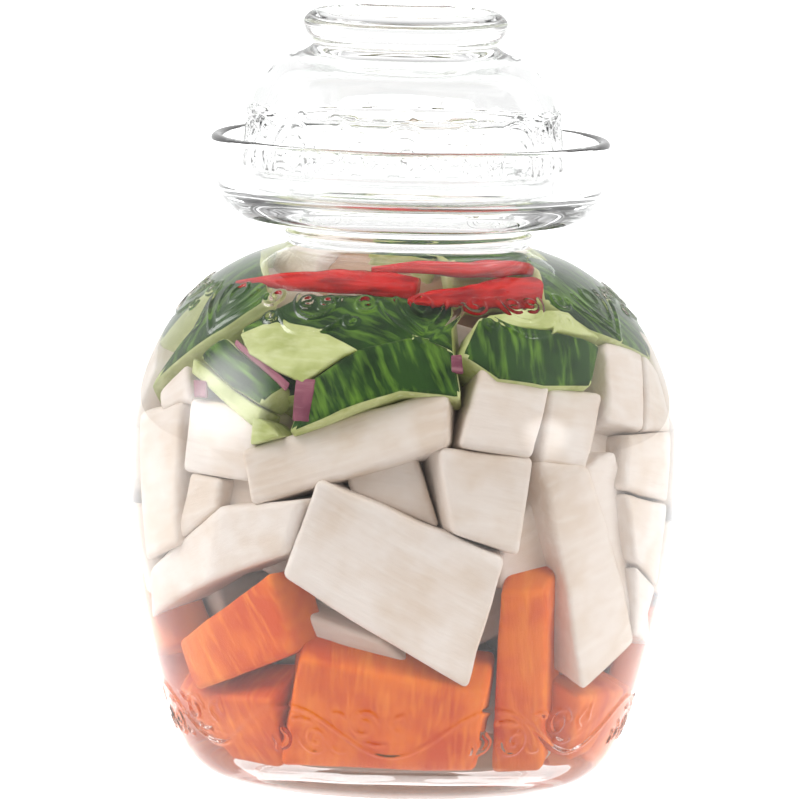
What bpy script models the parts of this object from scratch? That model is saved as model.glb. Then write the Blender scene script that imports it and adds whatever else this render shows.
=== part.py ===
"""Water-seal pickle jar of pressed glass, with its bowl lid and a filling of cut vegetables.

Units are metres, +Z is up, and the origin is the middle of the standing ring.
"""

import math
import random

import bmesh
import bpy
from mathutils import Matrix, Vector

MM = 0.001

# Heights along the jar's axis, millimetres
FLOOR_TOP = 8.0
PUSH_UP = 3.5
NECK_FOOT = 165.8
BEAD_HEIGHT = 168.2
MOAT_UNDERSIDE = 172.9
MOAT_FLOOR = 180.4
MOAT_RIM = 198.5
MOUTH_RIM = 205.5
LID_RIM = 180.7
LID_STEP = 189.0
LID_CEILING = 223.0
KNOB_TOP = 237.0
KNOB_DISH = 234.3

# Radii, millimetres
RING_INNER = 46.0
RING_OUTER = 50.5
NECK_OUTER = 36.8
NECK_BORE = 32.8
BEAD_RADIUS = 37.9
MOAT_FOOT = 50.0
MOAT_INNER = 57.6
LID_SKIRT = 46.8
LID_BORE = 43.6

# The belly's outer radius at each height, from the standing ring to the shoulder
BELLY = (
    (RING_OUTER, 0.0), (58.4, 3.0), (63.9, 8.0), (68.3, 16.0), (73.0, 30.0), (78.1, 50.0), (82.5, 74.0),
    (84.3, 98.0), (82.6, 118.0), (76.4, 134.0), (68.4, 146.0), (60.0, 154.0), (50.4, 160.0), (41.4, 163.5),
)
BELLY_STEPS = 2
INSIDE_STEPS = 1
WALL = 3.4
BASE_CORNER = ((69.5, 30.0), (65.4, 19.5), (59.5, 12.2), (52.0, 8.7), (46.0, FLOOR_TOP))

# The lid only rests in the moat, this far to the left of the jar's axis
LID_SHIFT = -2.3
GLASS_SIDES = 40
HEAP_SIDES = 36
WALL_CLEARANCE = 0.8
HEAP_TOP = 162.0
CORE_SHARE = 0.72

# Cut pieces that show at the front: length, height and depth, the middle of the face that shows,
# the way that face looks (degrees round the jar from the front, degrees up), its roll, and its taper
RADISH = (
    (66, 18, 20, (-13, -73, 110), -12, 15, 15, 0.9),
    (61, 33, 30, (-3, -72, 72), -2, -9, -22, 1.35),
    (28, 29, 24, (24, -74, 97), 19, 0, -4, 0.8),
    (24, 24, 24, (30, -69, 119), 23, 14, -12, 1.0),
    (21, 22, 22, (48, -53, 123), 44, 12, 8, 1.0),
    (22, 66, 22, (55, -50, 76), 48, -5, 20, 1.1),
    (14, 50, 24, (66, -38, 84), 60, -8, 14, 0.8),
    (25, 26, 22, (68, -33, 124), 64, 18, -8, 1.0),
    (35, 19, 22, (75, -24, 103), 71, 2, -2, 1.0),
    (34, 25, 22, (74, -20, 80), 73, -7, -8, 1.0),
    (29, 23, 24, (-58, -51, 110), -48, 6, 4, 1.0),
    (22, 22, 20, (-62, -49, 92), -52, -3, -14, 0.8),
    (24, 34, 22, (-73, -32, 100), -68, 0, 10, 1.0),
    (56, 22, 22, (-52, -50, 77), -48, -12, 24, 0.9),
    (30, 24, 22, (-8, -52, 98), 4, 0, 20, 1.0),
    (40, 24, 22, (-4, -48, 48), 6, -6, -14, 1.0),
    (22, 30, 20, (66, -28, 50), 66, -10, 12, 0.9),
)
CARROT = (
    (58, 27, 24, (-42, -57, 51), -46, -12, 30, 0.75),
    (58, 31, 26, (-4, -64, 24), -3, -10, -8, 1.0),
    (26, 62, 24, (39, -55, 40), 38, -10, -3, 1.1),
    (40, 24, 24, (-47, -44, 21), -50, -16, 4, 1.0),
    (36, 24, 22, (58, -28, 22), 66, -12, -4, 1.0),
)
# Wedges cut lengthwise from a cucumber: length, half width of the cut, then as above
CUCUMBER = (
    (60, 15, (-5, -71, 131), -4, 20, 20),
    (42, 13, (38, -55, 134), 36, 26, -12),
    (46, 12, (-50, -51, 129), -46, 14, -36),
    (44, 14, (-30, -50, 146), -30, 46, 8),
    (40, 12, (14, -50, 146), 14, 50, 0),
    (44, 12, (-58, -22, 143), -68, 36, 40),
    (44, 12, (52, -26, 147), 64, 44, -38),
)
# Chillies lie under the neck: length, radius, middle, heading and rise of the long way, and bend
CHILLI = (
    (60, 8.0, (-22, -38, 154), -24, 3, 7.0),
    (46, 8.5, (26, -39, 154), 34, 3, 6.0),
    (50, 7.0, (10, -22, 157), 10, 0, 5.0),
)

# The same filling carried on round the sides and back: height, tilt up, kind, and how many
BACK_ROWS = (
    (22, -16, "carrot", 5),
    (50, -10, "carrot", 5),
    (76, -4, "radish", 6),
    (101, 2, "radish", 6),
    (124, 14, "radish", 6),
    (143, 42, "cucumber", 6),
)
BACK_FROM, BACK_TO = 88, 272
BACK_SIZE = (34, 25, 22)
BACK_SEED = 11


def smooth_curve(points, steps):
    """Points along a centripetal Catmull-Rom curve through the given ones."""
    given = [Vector(p) for p in points]
    given = [2 * given[0] - given[1], *given, 2 * given[-1] - given[-2]]
    found = []
    for a, b, c, d in zip(given, given[1:], given[2:], given[3:]):
        knots = [0.0]
        for p, q in ((a, b), (b, c), (c, d)):
            knots.append(knots[-1] + math.sqrt((q - p).length))
        for step in range(steps):
            t = knots[1] + (knots[2] - knots[1]) * step / steps
            row = [a, b, c, d]
            for span in (1, 2):
                row = [
                    row[i].lerp(row[i + 1], (t - knots[i]) / (knots[i + span] - knots[i]))
                    for i in range(len(row) - 1)
                ]
            found.append(row[0].lerp(row[1], (t - knots[1]) / (knots[2] - knots[1])))
    found.append(given[-2])
    return found


def arc(middle, radius, first, last, steps):
    """Points on a circle from one angle to another, in degrees from +X towards +Z."""
    return [
        Vector((middle[0] + radius * math.cos(a), middle[1] + radius * math.sin(a)))
        for a in (math.radians(first + (last - first) * i / steps) for i in range(steps + 1))
    ]


def inset(curve, distance):
    """The curve moved inwards, for one that runs up the outside of a wall."""
    moved = []
    for i, point in enumerate(curve):
        way = curve[min(i + 1, len(curve) - 1)] - curve[max(i - 1, 0)]
        moved.append(point - Vector((way[1], -way[0])).normalized() * distance)
    return moved


def belly_outside(steps=BELLY_STEPS):
    return smooth_curve(BELLY, steps)


def belly_inside(clearance=0.0):
    """The inner wall from the floor's middle up to the shoulder's end, or a curve just inside it."""
    corner = smooth_curve(BASE_CORNER, INSIDE_STEPS)[::-1]
    wall = [p for p in inset(belly_outside(INSIDE_STEPS), WALL) if p[1] > BASE_CORNER[0][1] + 1]
    return inset([Vector((0, FLOOR_TOP)), *corner, *wall], clearance)


def add_mesh(name, mesh, collection):
    obj = bpy.data.objects.new(name, mesh)
    collection.objects.link(obj)
    return obj


def turned(name, profile, sides, collection):
    """A solid turned about Z from a profile in millimetres that starts and ends on the axis."""
    shape = bmesh.new()
    points = [shape.verts.new((max(p[0], 0.0) * MM, 0, p[1] * MM)) for p in profile]
    for a, b in zip(points, points[1:]):
        shape.edges.new((a, b))
    mesh = bpy.data.meshes.new(name)
    shape.to_mesh(mesh)
    shape.free()
    obj = add_mesh(name, mesh, collection)
    screw = obj.modifiers.new("Turn", "SCREW")
    screw.steps = screw.render_steps = sides
    screw.use_merge_vertices = True
    screw.merge_threshold = 0.00001
    screw.use_smooth_shade = True
    return obj


def material(name, colour, roughness, transmission=0.0):
    made = bpy.data.materials.new(name)
    made.use_nodes = True
    shader = made.node_tree.nodes["Principled BSDF"]
    shader.inputs["Base Color"].default_value = (*colour, 1)
    shader.inputs["Roughness"].default_value = roughness
    shader.inputs["Metallic"].default_value = 0.0
    shader.inputs["Transmission Weight"].default_value = transmission
    return made


def jar_profile():
    """Up the inside, over the mouth, through the moat and down the outside to the push-up."""
    inner = belly_inside()
    lip = (NECK_OUTER - NECK_BORE) / 2
    rim = 1.9
    outside = belly_outside()[::-1]
    return [
        *inner,
        Vector((NECK_BORE + 2.2, NECK_FOOT - 2.4)),
        Vector((NECK_BORE + 0.4, NECK_FOOT + 0.2)),
        Vector((NECK_BORE, MOAT_UNDERSIDE)),
        *arc((NECK_BORE + lip, MOUTH_RIM - lip), lip, 180, 0, 4),
        *arc((NECK_OUTER + 3, MOAT_FLOOR + 3), 3, 180, 270, 3),
        *arc((MOAT_INNER - 6.4, MOAT_FLOOR + 5), 5, 270, 355, 4),
        *arc((MOAT_INNER + rim, MOAT_RIM - rim), rim, 180, 0, 4),
        Vector((60.0, 188.0)),
        Vector((59.0, 182.0)),
        Vector((56.2, 176.4)),
        Vector((53.4, 173.8)),
        Vector((MOAT_FOOT, MOAT_UNDERSIDE)),
        *arc((NECK_OUTER + 2, MOAT_UNDERSIDE - 2), 2, 90, 180, 2),
        Vector((NECK_OUTER, BEAD_HEIGHT + 1.5)),
        Vector((BEAD_RADIUS, BEAD_HEIGHT + 0.7)),
        Vector((BEAD_RADIUS, BEAD_HEIGHT - 0.7)),
        Vector((NECK_OUTER, BEAD_HEIGHT - 1.6)),
        Vector((NECK_OUTER + 0.9, NECK_FOOT - 0.9)),
        *outside,
        Vector((RING_INNER, 0.0)),
        Vector((RING_INNER - 2.5, 1.3)),
        Vector((30.0, PUSH_UP - 0.7)),
        Vector((0.0, PUSH_UP)),
    ]


def lid_profile():
    """From the dish in the knob down the outside to the rim, then up the inside to the ceiling."""
    knob = [(24.0, KNOB_DISH + 0.6), (27.8, KNOB_TOP), (31.4, 233.6), (30.2, 229.4), (28.4, 226.9)]
    dome = [(30.6, 224.7), (36.9, 222.1), (41.2, 218.4), (45.0, 213.0), (47.4, 206.0), (48.6, 198.0)]
    inside = [(44.3, 192.0), (43.7, 201.0), (41.8, 209.0), (37.0, 216.4), (30.0, 220.6), (20.0, LID_CEILING)]
    edge = (LID_SKIRT - LID_BORE) / 2
    return [
        Vector((0.0, KNOB_DISH)),
        Vector((21.0, KNOB_DISH)),
        *smooth_curve(knob, 2),
        *smooth_curve(dome, 2),
        Vector((48.8, LID_STEP + 1.2)),
        Vector((48.2, LID_STEP)),
        Vector((LID_SKIRT + 0.2, LID_STEP - 1.6)),
        *arc((LID_BORE + edge, LID_RIM + edge), edge, 0, -180, 4),
        *smooth_curve(inside, 2),
        Vector((0.0, LID_CEILING)),
    ]


def place(middle, around, upwards, roll, depth):
    """Turns a shape whose length is X, height Z and depth Y so that its -Y face looks the way given."""
    a, e, r = (math.radians(v) for v in (around, upwards, roll))
    look = Vector((math.sin(a) * math.cos(e), -math.cos(a) * math.cos(e), math.sin(e)))
    across = Vector((math.cos(a), math.sin(a), 0))
    above = Vector((-math.sin(a) * math.sin(e), math.cos(a) * math.sin(e), math.cos(e)))
    x = across * math.cos(r) + above * math.sin(r)
    z = above * math.cos(r) - across * math.sin(r)
    turn = Matrix((x, -look, z)).transposed().to_4x4()
    return Matrix.Translation((Vector(middle) - look * depth / 2) * MM) @ turn


def add_block(name, size, placed, taper, collection):
    """A cut stick with square ends, the far end taller or lower than the near one by the taper."""
    shape = bmesh.new()
    bmesh.ops.create_cube(shape, size=MM)
    bmesh.ops.scale(shape, vec=size, verts=shape.verts)
    for vert in shape.verts:
        vert.co.z *= math.sqrt(taper) if vert.co.x > 0 else 1 / math.sqrt(taper)
    bmesh.ops.transform(shape, matrix=placed, verts=shape.verts)
    return finish_shape(name, shape, collection)


def add_wedge(name, length, half_width, placed, collection):
    """A length of cucumber cut off flat behind its skin, which looks along -Y."""
    radius = half_width * 1.25
    back = math.sqrt(radius**2 - half_width**2)
    shape = bmesh.new()
    bmesh.ops.create_cone(
        shape, cap_ends=True, segments=14, radius1=radius * MM, radius2=radius * MM, depth=length * MM
    )
    bmesh.ops.rotate(shape, matrix=Matrix.Rotation(math.pi / 2, 3, "Y"), verts=shape.verts)
    cut = bmesh.ops.bisect_plane(
        shape, geom=shape.verts[:] + shape.edges[:] + shape.faces[:],
        plane_co=(0, -back * MM * 0.3, 0), plane_no=(0, 1, 0), clear_outer=True,
    )
    edges = [item for item in cut["geom_cut"] if isinstance(item, bmesh.types.BMEdge)]
    bmesh.ops.holes_fill(shape, edges=edges, sides=0)
    bmesh.ops.translate(shape, vec=(0, (radius + back * 0.3) * MM / 2, 0), verts=shape.verts)
    bmesh.ops.transform(shape, matrix=placed, verts=shape.verts)
    return finish_shape(name, shape, collection)


def add_chilli(name, length, radius, middle, heading, rise, bend, collection):
    """A bent pod that tapers to its tip, with its long way at the given heading from +X."""
    curve = bpy.data.curves.new(name, "CURVE")
    curve.dimensions = "3D"
    curve.bevel_depth = MM
    curve.bevel_resolution = 2
    curve.use_fill_caps = True
    spline = curve.splines.new("POLY")
    count = 7
    spline.points.add(count - 1)
    for i, point in enumerate(spline.points):
        t = i / (count - 1)
        point.co = (length * (t - 0.5) * MM, -bend * math.sin(math.pi * t) * MM, 0, 1)
        point.radius = radius * (0.5 + 0.5 * math.sin(math.pi * min(t + 0.25, 1.0)) ** 0.6) * (1 - 0.5 * t)
    guide = bpy.data.objects.new(name + "_route", curve)
    collection.objects.link(guide)
    guide.matrix_world = (
        Matrix.Translation(Vector(middle) * MM)
        @ Matrix.Rotation(math.radians(heading), 4, "Z")
        @ Matrix.Rotation(math.radians(-rise), 4, "Y")
    )
    bpy.context.view_layer.update()
    mesh = bpy.data.meshes.new_from_object(guide.evaluated_get(bpy.context.evaluated_depsgraph_get()))
    shape = bmesh.new()
    shape.from_mesh(mesh)
    bmesh.ops.remove_doubles(shape, verts=shape.verts, dist=0.00001)
    bmesh.ops.transform(shape, matrix=guide.matrix_world, verts=shape.verts)
    bpy.data.objects.remove(guide)
    return finish_shape(name, shape, collection)


def finish_shape(name, shape, collection):
    bmesh.ops.recalc_face_normals(shape, faces=shape.faces)
    mesh = bpy.data.meshes.new(name)
    shape.to_mesh(mesh)
    shape.free()
    return add_mesh(name, mesh, collection)


def wall_radius(height):
    """The heap's own outer radius at a height."""
    curve = belly_inside(WALL_CLEARANCE)
    for a, b in zip(curve, curve[1:]):
        if a[1] <= height <= b[1] and b[1] > a[1]:
            return a[0] + (b[0] - a[0]) * (height - a[1]) / (b[1] - a[1])
    return NECK_BORE


def add_front_pieces(collection):
    for kind, rows in (("radish", RADISH), ("carrot", CARROT)):
        for i, (length, height, depth, middle, around, upwards, roll, taper) in enumerate(rows):
            placed = place(middle, around, upwards, roll, depth)
            add_block(f"{kind}_{i}", (length, depth, height), placed, taper, collection)
    for i, (length, half_width, middle, around, upwards, roll) in enumerate(CUCUMBER):
        placed = place(middle, around, upwards, roll, half_width)
        add_wedge(f"cucumber_{i}", length, half_width, placed, collection)
    for i, row in enumerate(CHILLI):
        add_chilli(f"chilli_{i}", *row, collection)


def add_back_pieces(collection):
    """Rows of pieces against the wall where the front ones leave off, each a little unlike the next."""
    draw = random.Random(BACK_SEED)
    for row, (height, upwards, kind, count) in enumerate(BACK_ROWS):
        step = (BACK_TO - BACK_FROM) / count
        for i in range(count):
            around = BACK_FROM + step * (i + 0.5) + draw.uniform(-4, 4)
            level = height + draw.uniform(-3, 3)
            far = wall_radius(level) - draw.uniform(2.0, 5.0)
            a = math.radians(around)
            middle = (far * math.sin(a), -far * math.cos(a), level)
            roll = draw.uniform(-28, 28)
            length, tall, depth = (v * draw.uniform(0.85, 1.2) for v in BACK_SIZE)
            placed = place(middle, around, upwards, roll, depth)
            name = f"back_{kind}_{row}_{i}"
            if kind == "cucumber":
                add_wedge(name, length, tall / 2, placed, collection)
            else:
                add_block(name, (length, depth, tall), placed, 1.0, collection)


def apply_boolean(obj, operation, other=None, group=None):
    """Applies one Boolean to the object's mesh."""
    boolean = obj.modifiers.new(operation.title(), "BOOLEAN")
    boolean.operation = operation
    boolean.solver = "EXACT"
    if group is None:
        boolean.object = other
    else:
        boolean.operand_type = "COLLECTION"
        boolean.collection = group
    bpy.context.view_layer.update()
    made = bpy.data.meshes.new_from_object(obj.evaluated_get(bpy.context.evaluated_depsgraph_get()))
    obj.modifiers.clear()
    obj.data = made


def keep_largest_shell(obj):
    """Drops loose scraps and the walls of sealed hollows, which fills them."""
    shape = bmesh.new()
    shape.from_mesh(obj.data)
    bmesh.ops.remove_doubles(shape, verts=shape.verts, dist=0.000002)
    left = set(shape.verts)
    shells = []
    while left:
        shell, edge = set(), [left.pop()]
        while edge:
            vert = edge.pop()
            shell.add(vert)
            near = {e.other_vert(vert) for e in vert.link_edges} & left
            left -= near
            edge.extend(near)
        shells.append(shell)
    largest = max(shells, key=len)
    bmesh.ops.delete(shape, geom=[v for v in shape.verts if v not in largest], context="VERTS")
    bmesh.ops.triangulate(shape, faces=shape.faces)
    shape.to_mesh(obj.data)
    shape.free()


def build_heap(name, parts):
    """The filling: a smaller turned core with every cut piece fused on, trimmed to the glass."""
    pieces = bpy.data.collections.new("heap_pieces")
    cutters = bpy.data.collections.new("heap_cutters")
    for group in (pieces, cutters):
        bpy.context.scene.collection.children.link(group)
    inside = [p for p in belly_inside(WALL_CLEARANCE) if p[1] < HEAP_TOP]
    low = FLOOR_TOP + WALL_CLEARANCE
    core_line = [Vector((p[0] * CORE_SHARE, low + (p[1] - low) * 0.97)) for p in inside]
    core_line.append(Vector((0, core_line[-1][1])))
    core = turned(name, core_line[::-1], HEAP_SIDES // 2, parts)
    trim_line = [*inside, Vector((0, inside[-1][1]))]
    trim = turned("heap_trim", trim_line[::-1], HEAP_SIDES, cutters)
    trim.hide_render = True
    trim.display_type = "WIRE"
    add_front_pieces(pieces)
    add_back_pieces(pieces)
    bpy.context.view_layer.update()
    core.data = bpy.data.meshes.new_from_object(core.evaluated_get(bpy.context.evaluated_depsgraph_get()))
    core.modifiers.clear()
    apply_boolean(core, "UNION", group=pieces)
    apply_boolean(core, "INTERSECT", other=trim)
    for group in (pieces, cutters):
        for obj in list(group.objects):
            bpy.data.objects.remove(obj)
        bpy.data.collections.remove(group)
    keep_largest_shell(core)
    return core


def main():
    for obj in list(bpy.data.objects):
        bpy.data.objects.remove(obj, do_unlink=True)
    parts = bpy.data.collections.new("pickle_jar")
    bpy.context.scene.collection.children.link(parts)

    jar = turned("glass_jar", jar_profile(), GLASS_SIDES, parts)
    jar.data.materials.append(material("jar_glass", (0.93, 0.97, 0.94), 0.02, 1.0))

    lid = turned("glass_lid", lid_profile(), GLASS_SIDES, parts)
    lid.location.x = LID_SHIFT * MM
    lid.data.materials.append(material("lid_glass", (0.93, 0.97, 0.94), 0.02, 1.0))

    heap = build_heap("vegetable_heap", parts)
    heap.data.materials.clear()
    heap.data.materials.append(material("cut_vegetables", (0.86, 0.74, 0.62), 0.4))


main()
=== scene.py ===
import math
import random

import bmesh
import bpy
import numpy as np
from mathutils import Matrix, Vector, noise


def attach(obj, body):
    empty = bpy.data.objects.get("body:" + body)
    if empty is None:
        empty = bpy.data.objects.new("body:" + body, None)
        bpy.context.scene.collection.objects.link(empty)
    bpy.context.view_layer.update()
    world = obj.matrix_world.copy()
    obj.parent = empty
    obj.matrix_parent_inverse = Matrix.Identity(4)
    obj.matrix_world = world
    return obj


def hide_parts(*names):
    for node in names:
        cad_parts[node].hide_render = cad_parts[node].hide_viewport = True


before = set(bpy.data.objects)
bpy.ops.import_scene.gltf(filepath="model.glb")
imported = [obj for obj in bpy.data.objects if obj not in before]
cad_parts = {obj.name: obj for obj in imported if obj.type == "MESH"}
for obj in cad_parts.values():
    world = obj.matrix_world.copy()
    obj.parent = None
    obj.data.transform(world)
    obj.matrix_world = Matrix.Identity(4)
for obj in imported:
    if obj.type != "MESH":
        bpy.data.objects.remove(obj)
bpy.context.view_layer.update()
MM = 0.001

# ---- Camera -------------------------------------------------------------------------------
# A long lens almost six degrees above the jar and turned a little clockwise, so that the jar
# stands nearly straight up and fills the square picture.
PICTURE = 800
CAMERA_DISTANCE = 5.0
CAMERA_RISE = math.radians(5.8)
CAMERA_ROLL = math.radians(1.3)
CAMERA_AIM = Vector((-0.0015, 0.0, 0.1171))
PIXELS_PER_RADIAN = 16287
SENSOR = 36.0

sight_forward = Vector((0, math.cos(CAMERA_RISE), -math.sin(CAMERA_RISE)))
level_up = Vector((1, 0, 0)).cross(sight_forward)
sight_right = Vector((1, 0, 0)) * math.cos(CAMERA_ROLL) + level_up * math.sin(CAMERA_ROLL)
sight_up = level_up * math.cos(CAMERA_ROLL) - Vector((1, 0, 0)) * math.sin(CAMERA_ROLL)
camera_place = CAMERA_AIM - sight_forward * CAMERA_DISTANCE

camera_data = bpy.data.cameras.new("camera")
camera_data.sensor_width = SENSOR
camera_data.lens = SENSOR * PIXELS_PER_RADIAN / PICTURE
camera_data.clip_start, camera_data.clip_end = 0.1, 100.0
camera = bpy.data.objects.new("camera", camera_data)
camera.matrix_world = (
    Matrix.Translation(camera_place)
    @ Matrix((sight_right, sight_up, -sight_forward)).transposed().to_4x4()
)
bpy.context.scene.collection.objects.link(camera)
bpy.context.scene.camera = camera

# ---- Studio -------------------------------------------------------------------------------
# A pale sweep all round, a white table top and two soft boxes, one to each side of the camera.
# The glass needs many bounces, and the picture keeps plain white as white.
FLOOR_RADIUS = 12.0
FLOOR_COLOUR = (0.94, 0.94, 0.94, 1)
SKY_LOW, SKY_HIGH = 1.0, 0.45
SKY_BEHIND_CAMERA = 0.6
SOFT_LIGHT = 1.5
MIRRORED_LIGHT = 0.3
FLOOR_GLOW = 1.0
FLAG_FROM, FLAG_TO = -0.25, -0.8
GLARE_CARDS = (
    # name, way round from the camera, rise, half width, half height, brightness
    ("glare_left", -88, 18, 27, 24, 7.0),
    ("glare_right", 62, 10, 14, 13, 6.0),
)
KEY_LAMPS = (
    # name, way round from the camera, rise, size in metres, watts
    ("key_left", -50, 40, 1.2, 22.0),
    ("key_right", 55, 30, 1.2, 14.0),
)
LAMP_DISTANCE = 2.2


def new_material(name):
    made = bpy.data.materials.new(name)
    made.use_nodes = True
    nodes, links = made.node_tree.nodes, made.node_tree.links
    return made, nodes, links, nodes["Principled BSDF"]


scene = bpy.context.scene
scene.view_settings.view_transform = "Standard"
scene.view_settings.look = "None"
scene.cycles.use_denoising = True
scene.cycles.max_bounces = 20
scene.cycles.transmission_bounces = 20
scene.cycles.glossy_bounces = 8
scene.cycles.diffuse_bounces = 3
scene.cycles.transparent_max_bounces = 48
scene.cycles.caustics_reflective = True
scene.cycles.caustics_refractive = True
scene.cycles.blur_glossy = 0.3
scene.cycles.sample_clamp_indirect = 6.0

world = bpy.data.worlds.new("studio")
scene.world = world
world.use_nodes = True
sky, sky_links = world.node_tree.nodes, world.node_tree.links
backdrop = sky["Background"]
backdrop.inputs["Color"].default_value = (1, 1, 1, 1)
direction = sky.new("ShaderNodeTexCoord")
split = sky.new("ShaderNodeSeparateXYZ")
sky_links.new(direction.outputs["Generated"], split.inputs[0])
rising = sky.new("ShaderNodeMapRange")
rising.inputs["From Min"].default_value = 0.35
rising.inputs["From Max"].default_value = 0.95
rising.inputs["To Min"].default_value = SKY_LOW
rising.inputs["To Max"].default_value = SKY_HIGH
sky_links.new(split.outputs["Z"], rising.inputs["Value"])
behind = sky.new("ShaderNodeMapRange")
behind.inputs["From Min"].default_value = FLAG_FROM
behind.inputs["From Max"].default_value = FLAG_TO
sky_links.new(split.outputs["Y"], behind.inputs["Value"])
sky_path = sky.new("ShaderNodeLightPath")


def sky_maths(operation, *values):
    made = sky.new("ShaderNodeMath")
    made.operation = operation
    for socket, value in zip(made.inputs, values):
        if isinstance(value, (int, float)):
            socket.default_value = value
        else:
            sky_links.new(value, socket)
    return made.outputs[0]


# Matt things get more of the sky's light, and what the glass mirrors from the camera's side is dim.
matt_light = sky_maths("MULTIPLY_ADD", sky_path.outputs["Is Diffuse Ray"], SOFT_LIGHT - 1, 1)
unseen = sky_maths("MULTIPLY_ADD", behind.outputs[0], SKY_BEHIND_CAMERA - 1, 1)
mirrored = sky_maths("MULTIPLY", behind.outputs[0], sky_path.outputs["Is Reflection Ray"])
flagged = sky_maths("MULTIPLY_ADD", mirrored, MIRRORED_LIGHT - 1, 1)
whole_light = sky_maths("MULTIPLY", sky_maths("MULTIPLY", rising.outputs[0], matt_light), unseen)
sky_links.new(sky_maths("MULTIPLY", whole_light, flagged), backdrop.inputs["Strength"])

floor_shape = bmesh.new()
bmesh.ops.create_circle(floor_shape, cap_ends=True, segments=64, radius=FLOOR_RADIUS)
floor_mesh = bpy.data.meshes.new("floor")
floor_shape.to_mesh(floor_mesh)
floor_shape.free()
floor = bpy.data.objects.new("floor", floor_mesh)
scene.collection.objects.link(floor)
floor_material, nodes, links, floor_shader = new_material("table_top")
floor_shader.inputs["Base Color"].default_value = FLOOR_COLOUR
floor_shader.inputs["Roughness"].default_value = 0.9
floor_shader.inputs["Specular IOR Level"].default_value = 0.0
floor_shader.inputs["Emission Color"].default_value = (1, 1, 1, 1)
floor_shader.inputs["Emission Strength"].default_value = FLOOR_GLOW
floor_soft = nodes.new("ShaderNodeBsdfDiffuse")
floor_soft.inputs["Color"].default_value = FLOOR_COLOUR
# Painted shade: a darker copy of the floor, shown only where the glass mirrors the floor on the camera's side.
floor_painted_shade = nodes.new("ShaderNodeBsdfDiffuse")
floor_painted_shade.inputs["Color"].default_value = tuple(v * MIRRORED_LIGHT for v in FLOOR_COLOUR[:3]) + (1,)
floor_place = nodes.new("ShaderNodeTexCoord")
floor_split = nodes.new("ShaderNodeSeparateXYZ")
links.new(floor_place.outputs["Object"], floor_split.inputs[0])
floor_front = nodes.new("ShaderNodeMapRange")
floor_front.inputs["From Min"].default_value = -0.1
floor_front.inputs["From Max"].default_value = -0.5
links.new(floor_split.outputs["Y"], floor_front.inputs["Value"])
# The share of that painted shade: the floor's front half, and only for reflection rays.
floor_shade_mask = nodes.new("ShaderNodeMath")
floor_shade_mask.operation = "MULTIPLY"
floor_path = nodes.new("ShaderNodeLightPath")
links.new(floor_front.outputs[0], floor_shade_mask.inputs[0])
links.new(floor_path.outputs["Is Reflection Ray"], floor_shade_mask.inputs[1])
floor_lit = nodes.new("ShaderNodeMixShader")
floor_seen = nodes.new("ShaderNodeMixShader")
links.new(floor_path.outputs["Is Diffuse Ray"], floor_lit.inputs[0])
links.new(floor_shader.outputs[0], floor_lit.inputs[1])
links.new(floor_soft.outputs[0], floor_lit.inputs[2])
links.new(floor_shade_mask.outputs[0], floor_seen.inputs[0])
links.new(floor_lit.outputs[0], floor_seen.inputs[1])
links.new(floor_painted_shade.outputs[0], floor_seen.inputs[2])
links.new(floor_seen.outputs[0], nodes["Material Output"].inputs["Surface"])
floor_mesh.materials.append(floor_material)


def studio_place(around, rise, distance):
    """A place round the jar's middle, its way given in degrees round from the camera and up."""
    a, e = math.radians(around), math.radians(rise)
    away = Vector((math.sin(a) * math.cos(e), -math.cos(a) * math.cos(e), math.sin(e)))
    return CAMERA_AIM + away * distance, (-away).to_track_quat("-Z", "Y")


for lamp_name, around, rise, lamp_size, watts in KEY_LAMPS:
    lamp_data = bpy.data.lights.new(lamp_name, "AREA")
    lamp_data.size = lamp_size
    lamp_data.energy = watts
    lamp = bpy.data.objects.new(lamp_name, lamp_data)
    lamp.location, lamp_turn = studio_place(around, rise, LAMP_DISTANCE)
    lamp.rotation_euler = lamp_turn.to_euler()
    lamp.visible_glossy = lamp.visible_transmission = lamp.visible_camera = False
    scene.collection.objects.link(lamp)

for card_name, around, rise, half_width, half_height, brightness in GLARE_CARDS:
    card_shape = bmesh.new()
    bmesh.ops.create_grid(card_shape, x_segments=1, y_segments=1, size=1.0)
    stretch = [LAMP_DISTANCE * math.tan(math.radians(v)) for v in (half_width, half_height)]
    bmesh.ops.scale(card_shape, vec=(*stretch, 1), verts=card_shape.verts)
    card_mesh = bpy.data.meshes.new(card_name)
    card_shape.to_mesh(card_mesh)
    card_shape.free()
    card = bpy.data.objects.new(card_name, card_mesh)
    card_at, card_turn = studio_place(around, rise, LAMP_DISTANCE)
    card.matrix_world = Matrix.Translation(card_at) @ card_turn.to_matrix().to_4x4()
    scene.collection.objects.link(card)
    card.visible_camera = card.visible_diffuse = card.visible_transmission = card.visible_shadow = False
    card_material, nodes, links, shader = new_material(card_name)
    glow = nodes.new("ShaderNodeEmission")
    where = nodes.new("ShaderNodeTexCoord")
    shrink = nodes.new("ShaderNodeVectorMath")
    shrink.operation = "DIVIDE"
    shrink.inputs[1].default_value = (*stretch, 1)
    reach = nodes.new("ShaderNodeVectorMath")
    reach.operation = "LENGTH"
    fade = nodes.new("ShaderNodeMapRange")
    fade.interpolation_type = "SMOOTHSTEP"
    fade.inputs["From Min"].default_value = 1.0
    fade.inputs["From Max"].default_value = 0.35
    fade.inputs["To Max"].default_value = brightness
    clear = nodes.new("ShaderNodeBsdfTransparent")
    both = nodes.new("ShaderNodeAddShader")
    links.new(where.outputs["Object"], shrink.inputs[0])
    links.new(shrink.outputs[0], reach.inputs[0])
    links.new(reach.outputs["Value"], fade.inputs["Value"])
    links.new(fade.outputs[0], glow.inputs["Strength"])
    links.new(glow.outputs[0], both.inputs[0])
    links.new(clear.outputs[0], both.inputs[1])
    links.new(both.outputs[0], nodes["Material Output"].inputs["Surface"])
    card_mesh.materials.append(card_material)
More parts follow.
